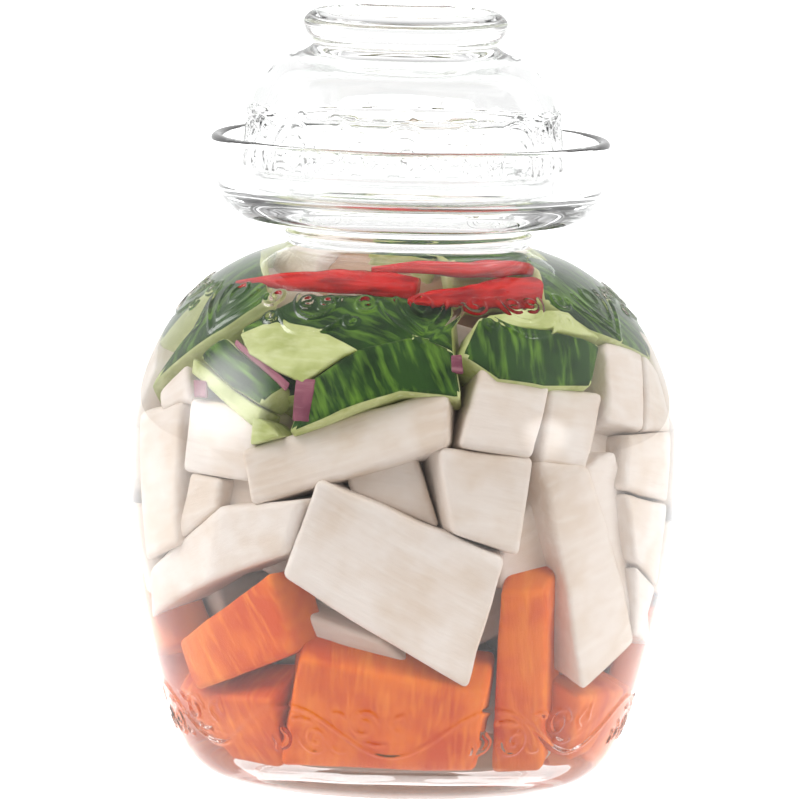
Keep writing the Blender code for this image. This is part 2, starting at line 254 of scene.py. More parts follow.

# ---- Glass jar ----------------------------------------------------------------------------
# A round-bellied jar of pressed soda-lime glass with a water moat round its neck, blown in a mould that leaves a
# raised vine at the foot and scrolls on the shoulder. The two lines that border the vine on the real jar are not made.
FLOOR_TOP = 8.0
PUSH_UP = 3.5
NECK_FOOT = 165.8
BRINE_LEVEL = 163.8
BEAD_HEIGHT = 168.2
MOAT_UNDERSIDE = 172.9
MOAT_FLOOR = 180.4
MOAT_RIM = 198.5
MOUTH_RIM = 205.5
RING_INNER, RING_OUTER = 46.0, 50.5
NECK_OUTER, NECK_BORE = 36.8, 32.8
BEAD_RADIUS = 37.9
MOAT_FOOT, MOAT_INNER = 50.0, 57.6
BELLY = (
    (RING_OUTER, 0.0), (58.4, 3.0), (63.9, 8.0), (68.3, 16.0), (73.0, 30.0), (78.1, 50.0),
    (82.5, 74.0), (84.3, 98.0), (82.6, 118.0), (76.4, 134.0), (68.4, 146.0), (60.0, 154.0),
    (50.4, 160.0), (41.4, 163.5),
)
BASE_CORNER = ((69.5, 30.0), (65.4, 19.5), (59.5, 12.2), (52.0, 8.7), (46.0, FLOOR_TOP))
WALL = 3.4
TURNS = 192
BELLY_STEPS, INSIDE_STEPS, FINE_STEPS = 6, 5, 40
GLASS_TINT = (0.998, 1.0, 0.999, 1)
GLASS_EDGE = (0.80, 0.91, 0.85, 1)
GLASS_EDGE_FROM, GLASS_EDGE_TO = 0.35, 0.85
GLASS_IOR = 1.5


def smooth_curve(points, steps):
    """Points along a centripetal Catmull-Rom curve through the given ones."""
    given = [Vector(p) for p in points]
    given = [2 * given[0] - given[1], *given, 2 * given[-1] - given[-2]]
    found = []
    for a, b, c, d in zip(given, given[1:], given[2:], given[3:]):
        knots = [0.0]
        for p, q in ((a, b), (b, c), (c, d)):
            knots.append(knots[-1] + math.sqrt((q - p).length))
        for step in range(steps):
            t = knots[1] + (knots[2] - knots[1]) * step / steps
            row = [a, b, c, d]
            for span in (1, 2):
                row = [
                    row[i].lerp(row[i + 1], (t - knots[i]) / (knots[i + span] - knots[i]))
                    for i in range(len(row) - 1)
                ]
            found.append(row[0].lerp(row[1], (t - knots[1]) / (knots[2] - knots[1])))
    found.append(given[-2])
    return found


def arc(middle, radius, first, last, steps):
    """Points on a circle from one angle to another, in degrees from +X towards +Z."""
    return [
        Vector((middle[0] + radius * math.cos(a), middle[1] + radius * math.sin(a)))
        for a in (math.radians(first + (last - first) * i / steps) for i in range(steps + 1))
    ]


def inset(curve, distance):
    """The curve moved inwards, for one that runs up the outside of a wall."""
    moved = []
    for i, point in enumerate(curve):
        way = curve[min(i + 1, len(curve) - 1)] - curve[max(i - 1, 0)]
        moved.append(point - Vector((way[1], -way[0])).normalized() * distance)
    return moved


def belly_inside(clearance, steps):
    """The inner wall from the floor's middle up to the shoulder's end, or a curve just off it."""
    corner = smooth_curve(BASE_CORNER, steps)[::-1]
    wall = inset(smooth_curve(BELLY, steps), WALL)
    wall = [p for p in wall if p[1] > BASE_CORNER[0][1] + 1]
    return inset([Vector((0, FLOOR_TOP)), *corner, *wall], clearance)


def jar_profile():
    """Up the inside, over the mouth, through the moat and down the outside to the push-up."""
    lip = (NECK_OUTER - NECK_BORE) / 2
    rim = 1.9
    neck_inside = smooth_curve(
        (
            belly_inside(0, INSIDE_STEPS)[-1],
            (NECK_BORE + 2.2, NECK_FOOT - 2.4),
            (NECK_BORE + 0.4, NECK_FOOT + 0.2),
            (NECK_BORE, MOAT_UNDERSIDE),
        ),
        4,
    )
    moat_side = smooth_curve(
        ((MOAT_INNER + 2 * rim, MOAT_RIM - rim), (60.0, 188.0), (59.0, 182.0), (56.2, 176.4), (53.4, 173.8),
         (MOAT_FOOT, MOAT_UNDERSIDE)),
        5,
    )
    bead = smooth_curve(
        (
            (NECK_OUTER, MOAT_UNDERSIDE - 2),
            (NECK_OUTER, BEAD_HEIGHT + 1.5),
            (BEAD_RADIUS, BEAD_HEIGHT + 0.7),
            (BEAD_RADIUS, BEAD_HEIGHT - 0.7),
            (NECK_OUTER, BEAD_HEIGHT - 1.6),
            (NECK_OUTER + 0.9, NECK_FOOT - 0.9),
            BELLY[-1],
        ),
        4,
    )
    push_up = smooth_curve(
        (BELLY[0], (RING_OUTER - 1.6, -0.0), (RING_INNER, 0.0), (RING_INNER - 2.5, 1.3), (30.0, PUSH_UP - 0.7),
         (12.0, PUSH_UP - 0.1), (0.0, PUSH_UP)),
        4,
    )
    return [
        *belly_inside(0, INSIDE_STEPS),
        *neck_inside[1:],
        *[Vector((NECK_BORE, z)) for z in (180.0, 187.0, 194.0, 200.0)],
        *arc((NECK_BORE + lip, MOUTH_RIM - lip), lip, 180, 0, 10),
        *[Vector((NECK_OUTER, z)) for z in (199.0, 193.0, 187.0)],
        *arc((NECK_OUTER + 3, MOAT_FLOOR + 3), 3, 180, 270, 6),
        *[Vector((r, MOAT_FLOOR)) for r in (43.0, 47.0)],
        *arc((MOAT_INNER - 6.4, MOAT_FLOOR + 5), 5, 270, 355, 8),
        *[Vector((56.6, 190.0)), Vector((57.3, 194.0))],
        *arc((MOAT_INNER + rim, MOAT_RIM - rim), rim, 180, 0, 10),
        *moat_side[1:],
        *[Vector((r, MOAT_UNDERSIDE)) for r in (47.0, 43.0)],
        *arc((NECK_OUTER + 2, MOAT_UNDERSIDE - 2), 2, 90, 180, 5),
        *bead[1:],
        *smooth_curve(BELLY, BELLY_STEPS)[::-1][1:],
        *push_up[1:],
    ]


def turned(profile, turns):
    """A closed shape turned about Z from a profile in millimetres that starts and ends on the axis."""
    shape = bmesh.new()
    points = [shape.verts.new((max(p[0], 0.0) * MM, 0, p[1] * MM)) for p in profile]
    edges = [shape.edges.new(pair) for pair in zip(points, points[1:])]
    bmesh.ops.spin(
        shape, geom=points + edges, cent=(0, 0, 0), axis=(0, 0, 1), angle=2 * math.pi,
        steps=turns, use_merge=True,
    )
    bmesh.ops.remove_doubles(shape, verts=shape.verts, dist=2e-6)
    bmesh.ops.recalc_face_normals(shape, faces=shape.faces)
    return shape


def finish_piece(name, shape, *materials):
    """Makes the piece from its shape, smooth all over, and lets it ride on the jar's one body."""
    for face in shape.faces:
        face.smooth = True
    mesh = bpy.data.meshes.new(name)
    shape.to_mesh(mesh)
    shape.free()
    for each in materials:
        mesh.materials.append(each)
    piece = bpy.data.objects.new(name, mesh)
    scene.collection.objects.link(piece)
    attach(piece, "root")
    return piece


def clear_material(name, tint, edge_tint, ior, wet=False):
    """Clear glass or liquid, greener edge on, that lets the lamps' light straight through. Where
    glass and liquid touch, neither side of the meeting face mirrors what is in front of it."""
    made, nodes, links, shader = new_material(name)
    if wet:
        shader.inputs["Specular Tint"].default_value = (0, 0, 0, 1)
    shader.inputs["Roughness"].default_value = 0.0
    shader.inputs["Transmission Weight"].default_value = 1.0
    shader.inputs["IOR"].default_value = ior
    facing = nodes.new("ShaderNodeLayerWeight")
    facing.inputs["Blend"].default_value = 0.25
    stain = nodes.new("ShaderNodeMix")
    stain.data_type = "RGBA"
    stain.inputs["A"].default_value = tint
    stain.inputs["B"].default_value = edge_tint
    edge_share = nodes.new("ShaderNodeMapRange")
    edge_share.inputs["From Min"].default_value = GLASS_EDGE_FROM
    edge_share.inputs["From Max"].default_value = GLASS_EDGE_TO
    links.new(facing.outputs["Facing"], edge_share.inputs["Value"])
    links.new(edge_share.outputs[0], stain.inputs["Factor"])
    links.new(stain.outputs["Result"], shader.inputs["Base Color"])
    path = nodes.new("ShaderNodeLightPath")
    open_way = nodes.new("ShaderNodeBsdfTransparent")
    soft_light = nodes.new("ShaderNodeMixShader")
    lamp_light = nodes.new("ShaderNodeMixShader")
    links.new(path.outputs["Is Diffuse Ray"], soft_light.inputs[0])
    links.new(shader.outputs[0], soft_light.inputs[1])
    links.new(open_way.outputs[0], soft_light.inputs[2])
    links.new(path.outputs["Is Shadow Ray"], lamp_light.inputs[0])
    links.new(soft_light.outputs[0], lamp_light.inputs[1])
    links.new(open_way.outputs[0], lamp_light.inputs[2])
    links.new(lamp_light.outputs[0], nodes["Material Output"].inputs["Surface"])
    return made


belly_fine = np.array(smooth_curve(BELLY, FINE_STEPS)) * MM
inside_fine = np.array(belly_inside(0, FINE_STEPS)[1:]) * MM


def wall_radius(line, height):
    return float(np.interp(height, line[:, 1], line[:, 0]))


def wall_normal(line, point):
    """The outward normal of the surface turned from that line, at a point on it."""
    step = 0.0002
    slope = (wall_radius(line, point.z + step) - wall_radius(line, point.z - step)) / (2 * step)
    across = Vector((point.x, point.y, 0)).normalized()
    return (across - Vector((0, 0, slope))).normalized()


def spiral(middle, radius, start, sweep, steps=22):
    """A curl that winds inwards, with angles in degrees and a sweep that may run either way."""
    found = []
    for i in range(steps + 1):
        share = i / steps
        a = math.radians(start + sweep * share)
        r = radius * (1 - 0.78 * share)
        found.append((middle[0] + r * math.cos(a), middle[1] + r * math.sin(a)))
    return found


def curve_2d(points, steps=6):
    return [tuple(p) for p in smooth_curve(points, steps)]


def both_hands(lines, middle=0.0):
    """The lines and their mirror images about an upright axis."""
    return [*lines, *[[(2 * middle - x, y) for x, y in line] for line in lines]]


# Each motif is drawn flat in millimetres: across, at the radius given, and up or along the wall.
VINE_REPEATS, VINE_RADIUS, VINE_TURN = 7, 70.0, -27.5
VINE_MIDDLE, VINE_SWING = 22.3, 7.4
vine_pitch = 2 * math.pi * VINE_RADIUS / VINE_REPEATS
half_vine = [
    spiral((8.0, 19.8), 4.9, 190, 470),
    curve_2d(((-2.6, 22.0), (-0.6, 20.0), (-1.6, 17.4), (-3.6, 16.4))),
    curve_2d(((-6.0, 19.2), (-5.0, 17.6), (-5.6, 15.6))),
    curve_2d(((13.6, 17.2), (15.2, 16.2), (17.2, 16.4))),
    curve_2d(((1.6, 25.6), (4.4, 26.0), (7.4, 25.2))),
]
vine_lines = [
    [
        (u, VINE_MIDDLE + VINE_SWING * math.cos(2 * math.pi * u / vine_pitch))
        for u in np.linspace(-vine_pitch / 2 - 2, vine_pitch / 2 + 2, 60)
    ],
    *half_vine,
    *[[(vine_pitch / 2 - x, 2 * VINE_MIDDLE - y) for x, y in line] for line in half_vine],
    *[[(-vine_pitch / 2 - x, 2 * VINE_MIDDLE - y) for x, y in line] for line in half_vine],
]
CLOUD_REPEATS, CLOUD_RADIUS, CLOUD_TURN = 6, 66.0, 4.0
CLOUD_TOP = 157.6
cloud_pitch = 2 * math.pi * CLOUD_RADIUS / CLOUD_REPEATS
cloud_lines = [
    *both_hands([
        [*curve_2d(((0, 24.4), (3.6, 20.6), (8.4, 16.4), (12.4, 11.8), (13.8, 8.4))), *spiral((18.0, 8.6), 4.3, 180, -430)],
        curve_2d(((0, 20.0), (3.2, 16.4), (6.8, 11.6), (8.4, 6.6))),
        curve_2d(((0, 13.0), (2.6, 10.4), (3.0, 7.2), (0.0, 4.8))),
        [*curve_2d(((cloud_pitch / 2, 21.6), (29.4, 20.6), (25.2, 17.0), (22.8, 14.6))), *spiral((20.8, 16.4), 2.6, -20, 380)],
        curve_2d(((cloud_pitch / 2, 16.2), (30.4, 14.6), (27.4, 10.6), (26.6, 7.4))),
    ]),
    *both_hands([spiral((cloud_pitch / 2 - 3.2, 9.4), 3.0, 60, 420)]),
]
RIDGE_HALF_WIDTH, RIDGE_HEIGHT = 0.95, 0.62
REFINE_REACHES = (2.4, 1.5)
WAVER_HEIGHT = 0.10


def line_arrays(lines, radius):
    """The motif's straight bits as arrays: angle and height of each end."""
    starts = np.array([p for line in lines for p in line[:-1]], dtype=float)
    ends = np.array([p for line in lines for p in line[1:]], dtype=float)
    for each in (starts, ends):
        each[:, 0] /= radius
    return starts, ends


def motif_distance(turns, levels, radii, lines, radius, repeats, turn):
    """How far each place on the wall is from the nearest raised line, in millimetres."""
    pitch = 2 * math.pi / repeats
    turns = (turns - math.radians(turn) + pitch / 2) % pitch - pitch / 2
    starts, ends = line_arrays(lines, radius)
    nearest = np.full(len(turns), 99.0)
    for first in range(0, len(turns), 4000):
        part = slice(first, first + 4000)
        wide = radii[part, None]
        from_x = starts[None, :, 0] * wide
        from_y = np.broadcast_to(starts[None, :, 1], from_x.shape)
        run_x = ends[None, :, 0] * wide - from_x
        run_y = ends[None, :, 1] - from_y
        off_x = turns[part, None] * wide - from_x
        off_y = levels[part, None] - from_y
        share = np.clip((off_x * run_x + off_y * run_y) / (run_x**2 + run_y**2 + 1e-9), 0, 1)
        nearest[part] = np.hypot(off_x - share * run_x, off_y - share * run_y).min(axis=1)
    return nearest


def wall_places(shape, line, low, high, centre=0.0):
    """The points of a shape on the outer wall between two heights, with way round and radius."""
    found, turns, heights = [], [], []
    for vert in shape.verts:
        x = vert.co.x - centre
        if low * MM < vert.co.z < high * MM and math.hypot(x, vert.co.y) > wall_radius(line, vert.co.z) - 0.0009:
            found.append(vert)
            turns.append(math.atan2(x, -vert.co.y))
            heights.append(vert.co.z)
    return found, np.array(turns), np.array(heights)


def raise_motif(shape, line, low, high, lines, radius, repeats, turn, levels_of, ridge, centre=0.0):
    """Splits the wall finely along the raised lines of a repeated motif and lifts them."""
    for reach in (*REFINE_REACHES, None):
        verts, turns, heights = wall_places(shape, line, low, high, centre)
        radii = np.interp(heights, line[:, 1], line[:, 0]) / MM
        away = motif_distance(turns, levels_of(heights / MM), radii, lines, radius, repeats, turn)
        if reach is None:
            break
        near = [vert for vert, distance in zip(verts, away) if distance < reach]
        edges = list({edge for vert in near for edge in vert.link_edges})
        bmesh.ops.subdivide_edges(shape, edges=edges, cuts=1, use_grid_fill=True)
    half_width, height = ridge
    lift = height * np.clip(1 - (away / half_width) ** 2, 0, None) ** 2
    for vert, turned_by, reach, rise in zip(verts, turns, radii, lift):
        flat = Vector((math.sin(turned_by), -math.cos(turned_by), 0))
        vert.co.x, vert.co.y = flat.x * reach * MM, flat.y * reach * MM
        vert.co += wall_normal(line, vert.co) * rise * MM
        vert.co.x += centre


def add_waver(shape, height, seed):
    """The slight unevenness of pressed glass, drawn out upwards."""
    for vert in shape.verts:
        place = Vector((vert.co.x * 60, vert.co.y * 60, vert.co.z * 30 + seed))
        vert.co += noise.noise_vector(place) * height * MM


belly_run = np.concatenate([[0], np.cumsum(np.hypot(*np.diff(belly_fine, axis=0).T))]) / MM
cloud_start = np.interp(CLOUD_TOP * MM, belly_fine[:, 1], belly_run)


def below_cloud_top(heights):
    """How far down along the wall from the top of the cloud collar, from heights in millimetres."""
    return cloud_start - np.interp(heights * MM, belly_fine[:, 1], belly_run)


jar_shape = turned(jar_profile(), TURNS)
raise_motif(
    jar_shape, belly_fine, 11.5, 33.0, vine_lines, VINE_RADIUS, VINE_REPEATS, VINE_TURN, lambda z: z,
    (RIDGE_HALF_WIDTH, RIDGE_HEIGHT),
)
raise_motif(
    jar_shape, belly_fine, 134.0, 157.6, cloud_lines, CLOUD_RADIUS, CLOUD_REPEATS, CLOUD_TURN, below_cloud_top,
    (RIDGE_HALF_WIDTH, RIDGE_HEIGHT),
)
add_waver(jar_shape, WAVER_HEIGHT, 0.0)
bmesh.ops.triangulate(jar_shape, faces=[f for f in jar_shape.faces if len(f.verts) > 4])
for face in jar_shape.faces:
    middle = face.calc_center_median()
    reach = math.hypot(middle.x, middle.y)
    below_brine = (FLOOR_TOP - 0.5) * MM < middle.z < BRINE_LEVEL * MM
    if below_brine and reach < wall_radius(inside_fine, middle.z) + 0.0008:
        face.material_index = 1
jar_glass = clear_material("jar_glass", GLASS_TINT, GLASS_EDGE, GLASS_IOR)
wet_glass = clear_material("wet_glass", GLASS_TINT, GLASS_TINT, GLASS_IOR, wet=True)
jar = finish_piece("glass_jar_moulded", jar_shape, jar_glass, wet_glass)
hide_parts("glass_jar")
print("jar faces", len(jar.data.polygons))

# ---- Brine --------------------------------------------------------------------------------
# Clear salted water with a little vinegar, poured in up to the foot of the neck. It wets the
# glass all round, so its edge lies just inside the glass and leaves no air gap.
BRINE_INTO_GLASS = 0.25
BRINE_IOR = 1.34
BRINE_TINT = (1.0, 0.998, 0.993, 1)

brine_line = [p for p in belly_inside(-BRINE_INTO_GLASS, INSIDE_STEPS) if p[1] < BRINE_LEVEL]
brine_line[0] = Vector((0, brine_line[1][1]))
brine_shape = turned([*brine_line, Vector((NECK_BORE + 2.6, BRINE_LEVEL)), Vector((0, BRINE_LEVEL - 0.2))], TURNS)
brine = finish_piece("brine", brine_shape, clear_material("salt_water", BRINE_TINT, BRINE_TINT, BRINE_IOR, wet=True))
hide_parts("vegetable_heap")

# ---- Radish sticks ------------------------------------------------------------------------
# White radish, peeled and cut with a knife into thick sticks and blocks. They are packed tight
# against the glass, so each one shows a flat, wet, faintly fibrous cut face.
CLEAR_OF_GLASS = 0.6
CUT_EDGE = 2.0
WET_GLOSS = 0.08
BEHIND = (84, 276)
RADISH_ROWS = ((70, 7), (96, 7), (121, 7))
INNER_ROWS = ((30, 6), (55, 7), (80, 8), (105, 8), (128, 7))
INNER_GAP = 24.0
RADISH_ON_TOP = ((-20, 2, 35), (22, 12, -50), (2, 34, 10))
RADISH_FACES = {
    # corners along the top edge, then along the bottom edge, both left to right, in the picture's
    # pixels; how far behind the glass; how deep the piece is
    "bar": (((241, 450), (449, 386)), ((252, 506), (448, 446)), 1.2, 20),
    "big": (((318, 480), (504, 559)), ((282, 577), (467, 691)), 1.2, 26),
    "small": (((440, 448), (534, 458)), ((455, 534), (519, 557)), 2.5, 22),
    "bright": (((482, 366), (552, 380)), ((461, 445), (533, 459)), 1.5, 22),
    "beside_bright": (((551, 385), (604, 394)), ((540, 464), (586, 472)), 3.5, 20),
    "long": (((541, 461), (590, 466)), ((582, 692), (635, 642)), 1.5, 20),
    "narrow": (((584, 469), (616, 450)), ((634, 632), (648, 645)), 4.0, 20),
    "right_top": (((606, 342), (641, 349)), ((608, 421), (645, 430)), 2.0, 20),
    "right_top_far": (((642, 349), (658, 372)), ((646, 430), (671, 429)), 1.0, 20),
    "right_middle": (((631, 436), (671, 431)), ((625, 490), (668, 502)), 1.2, 20),
    "right_low": (((628, 494), (668, 505)), ((637, 560), (657, 588)), 1.5, 20),
    "right_foot": (((637, 566), (656, 588)), ((636, 636), (642, 638)), 1.5, 16),
    "left_top": (((190, 397), (260, 411)), ((182, 472), (247, 480)), 2.5, 22),
    "left_middle": (((189, 471), (221, 479)), ((174, 546), (217, 509)), 4.0, 22),
    "left_edge": (((140, 412), (182, 402)), ((146, 560), (176, 545)), 1.0, 22),
    "left_shoulder": (((158, 392), (187, 362)), ((160, 410), (190, 399)), 1.0, 18),
    "left_low": (((150, 570), (218, 508), (299, 500)), ((152, 618), (206, 582), (283, 555)), 1.5, 24),
    "behind_bar": (((345, 468), (414, 446)), ((350, 492), (440, 530)), 13.0, 18),
    "behind_big": (((300, 612), (380, 640)), ((300, 664), (440, 690)), 15.0, 18),
    "behind_small": (((500, 545), (548, 470)), ((500, 590), (560, 585)), 14.0, 16),
    "behind_right": (((588, 398), (634, 430)), ((584, 470), (624, 474)), 11.0, 16),
    "behind_left": (((208, 462), (262, 480)), ((214, 512), (262, 512)), 10.0, 16),
}


def sight_line(x, y):
    """The way from the camera through a pixel of the picture."""
    half = PICTURE / 2
    way = sight_forward * PIXELS_PER_RADIAN + sight_right * (x - half) - sight_up * (y - half)
    return way.normalized()


def meet_wall(start, way, line):
    """The first point where a straight line crosses the surface turned from the line."""

    def outside(t):
        point = start + way * t
        return math.hypot(point.x, point.y) > wall_radius(line, point.z)

    step = 0.0015
    t = step / 4
    was_outside = outside(t)
    while t < 0.3:
        if outside(t + step) != was_outside:
            low, high = t, t + step
            for _ in range(24):
                middle = (low + high) / 2
                low, high = (middle, high) if outside(middle) == was_outside else (low, middle)
            return start + way * high
        t += step
    raise ValueError("the line of sight misses the jar")


def bend(way, normal, ratio):
    """Snell's law: the way on through a surface, ratio being the index before over the one after."""
    cosine = -way.dot(normal)
    if cosine < 0:
        normal, cosine = -normal, -cosine
    rest = max(1 - ratio**2 * (1 - cosine**2), 0.0)
    return (way * ratio + normal * (ratio * cosine - math.sqrt(rest))).normalized()


def behind_glass(x, y, gap):
    """The point that shows at a pixel and lies that many millimetres inside the jar's inner wall."""
    way = sight_line(x, y)
    start = camera_place + way * ((-0.12 - camera_place.y) / way.y)
    outer = meet_wall(start, way, belly_fine)
    way = bend(way, wall_normal(belly_fine, outer), 1 / GLASS_IOR)
    inner = meet_wall(outer, way, inside_fine)
    way = bend(way, wall_normal(inside_fine, inner), GLASS_IOR / BRINE_IOR)
    point = inner
    for _ in range(600):
        across = math.hypot(point.x, point.y)
        if np.hypot(inside_fine[:, 0] - across, inside_fine[:, 1] - point.z).min() >= gap * MM:
            break
        point = point + way * 0.0004
    return point


def keep_inside(vert):
    """Moves a point that reaches into the glass back to just inside it."""
    vert.co.z = min(max(vert.co.z, (FLOOR_TOP + CLEAR_OF_GLASS) * MM), (BRINE_LEVEL - 1) * MM)
    most = wall_radius(inside_fine, vert.co.z) - CLEAR_OF_GLASS * MM
    reach = math.hypot(vert.co.x, vert.co.y)
    if reach > most:
        vert.co.x *= most / reach
        vert.co.y *= most / reach


def add_cut_piece(
    kind, top, bottom, depth, draw, cell=3.0, bulge=0.0, skin=False, stripe=None, edge=CUT_EDGE, unevenness=0.5
):
    """One knife-cut piece: its showing face from corner points, carried straight back, its edges
    eased and its faces a little uneven. Each point keeps its place in the uncut piece as grain,
    with a tone that is the piece's own. A piece with skin has it on the showing face alone."""
    piece = bmesh.new()
    grain = piece.verts.layers.float_vector.new("grain")
    tone = piece.verts.layers.float.new("tone")
    corners = [*top, *bottom[::-1]]
    middle = sum(corners, Vector()) / len(corners)
    normal = Vector()
    for a, b in zip(corners, corners[1:] + corners[:1]):
        normal += (a - middle).cross(b - middle)
    normal.normalize()
    outward = Vector((middle.x, middle.y, 0)) if abs(normal.z) < 0.8 else Vector((0, 0, 1))
    if normal.dot(outward) < 0:
        normal = -normal
    back = -normal * depth * MM
    rows = [[piece.verts.new(p) for p in points] for points in (top, bottom)]
    front = [
        piece.faces.new((rows[0][i], rows[0][i + 1], rows[1][i + 1], rows[1][i])) for i in range(len(top) - 1)
    ]
    made = bmesh.ops.extrude_face_region(piece, geom=front, use_keep_orig=True)
    moved = [item for item in made["geom"] if isinstance(item, bmesh.types.BMVert)]
    bmesh.ops.translate(piece, vec=back, verts=moved)
    bmesh.ops.scale(
        piece, vec=Vector((1, 1, 1)) * draw.uniform(0.86, 0.97), verts=moved,
        space=Matrix.Translation(-(middle + back)),
    )
    bmesh.ops.recalc_face_normals(piece, faces=piece.faces)
    for face in piece.faces:
        face.material_index = 1 if skin else 0
    for face in front:
        face.material_index = 0
    long_way = (stripe or (top[-1] - top[0] + bottom[-1] - bottom[0])).normalized()
    high_way = normal.cross(long_way).normalized()
    half_high = max(abs((c - middle).dot(high_way)) for c in corners)
    sharp = [e for e in piece.edges if e.calc_face_angle(0) > math.radians(35)]
    bmesh.ops.bevel(
        piece, geom=sharp, offset=edge * MM, segments=3, profile=0.5, affect="EDGES", material=-1
    )
    for _ in range(6):
        long_edges = [e for e in piece.edges if e.calc_length() > cell * 1.5 * MM]
        if not long_edges:
            break
        bmesh.ops.subdivide_edges(piece, edges=long_edges, cuts=1, use_grid_fill=True)
    bmesh.ops.triangulate(piece, faces=[f for f in piece.faces if len(f.verts) > 4])
    shift = Vector((draw.uniform(-1, 1), draw.uniform(-1, 1), draw.uniform(-1, 1)))
    piece_tone = draw.random()
    for vert in piece.verts:
        local = vert.co - middle
        vert[grain] = Vector((local.dot(long_way), local.dot(normal), local.dot(high_way))) + shift
        vert[tone] = piece_tone
        near_front = min(max(1 + local.dot(normal) / (depth * MM), 0.0), 1.0)
        round_over = max(1 - (local.dot(high_way) / half_high) ** 2, 0.0)
        vert.co += normal * bulge * MM * near_front * round_over
        wander = noise.noise_vector(vert.co * 70 + shift * 9) * unevenness
        fine = noise.noise_vector(vert.co * 260 + shift * 5) * unevenness * 0.25
        vert.co += (wander + fine) * MM
        keep_inside(vert)
    join_into(kind, piece)


def join_into(kind, piece):
    holder = bpy.data.meshes.new("joining")
    piece.to_mesh(holder)
    piece.free()
    kind.from_mesh(holder)
    bpy.data.meshes.remove(holder)


def new_kind():
    """An empty shape that cut pieces are joined into, with the layers that they carry."""
    kind = bmesh.new()
    kind.verts.layers.float_vector.new("grain")
    kind.verts.layers.float.new("tone")
    return kind


def traced(corners, gap):
    """Corner pixels, each with a gap of its own or the piece's, as points behind the glass."""
    return [behind_glass(c[0], c[1], c[2] if len(c) > 2 else gap) for c in corners]


def add_wall_piece(kind, around, height, wide, high, roll, gap, depth, draw, **more):
    """A cut piece against the wall anywhere round the jar, turned by a roll, in millimetres."""
    chains = []
    for v in (1, -1):
        chain = []
        for u in (-1, 0, 1):
            x = u * wide / 2 * math.cos(roll) - v * high / 2 * math.sin(roll)
            z = height + u * wide / 2 * math.sin(roll) + v * high / 2 * math.cos(roll)
            z = min(max(z, FLOOR_TOP + 3), BRINE_LEVEL - 4)
            reach = wall_radius(inside_fine, z * MM) - gap * MM
            a = math.radians(around) + x * MM / reach
            chain.append(Vector((reach * math.sin(a), -reach * math.cos(a), z * MM)))
        chains.append(chain)
    add_cut_piece(kind, *chains, depth, draw, **more)


def add_ring(kind, height, count, gap, first, last, draw, **more):
    """A row of cut pieces round the jar, each with a size, turn and depth of its own."""
    for i in range(count):
        around = first + (last - first) * (i + 0.5 + draw.uniform(-0.18, 0.18)) / count
        add_wall_piece(
            kind, around, height + draw.uniform(-4, 4), draw.uniform(30, 42), draw.uniform(21, 27),
            math.radians(draw.uniform(-28, 28)), gap + draw.uniform(0, 4), draw.uniform(16, 24), draw, **more
        )


def add_top_pieces(kind, places, level, draw, **more):
    """Cut pieces that lie flat at the top of the filling, from across, back and turn."""
    for x, y, turn in places:
        ends = []
        for v in (1, -1):
            chain = []
            for u in (-1, 1):
                a, b = u * draw.uniform(13, 17), v * draw.uniform(9, 12)
                c, s = math.cos(math.radians(turn)), math.sin(math.radians(turn))
                height = level + draw.uniform(-2.5, 2.5)
                chain.append(Vector(((x + a * c - b * s) * MM, (y + a * s + b * c) * MM, height * MM)))
            ends.append(chain)
        add_cut_piece(kind, *ends, draw.uniform(14, 18), draw, **more)


radish_draw = random.Random(3)
radish_shape = new_kind()
for top_row, bottom_row, radish_gap, radish_depth in RADISH_FACES.values():
    add_cut_piece(
        radish_shape, traced(top_row, radish_gap), traced(bottom_row, radish_gap), radish_depth, radish_draw
    )
for row_height, row_count in RADISH_ROWS:
    add_ring(radish_shape, row_height, row_count, 1.0, *BEHIND, radish_draw, cell=4.5)
for row_height, row_count in INNER_ROWS:
    add_ring(radish_shape, row_height, row_count, INNER_GAP, 0, 360, radish_draw, cell=6.0)
add_top_pieces(radish_shape, RADISH_ON_TOP, 153.5, radish_draw)


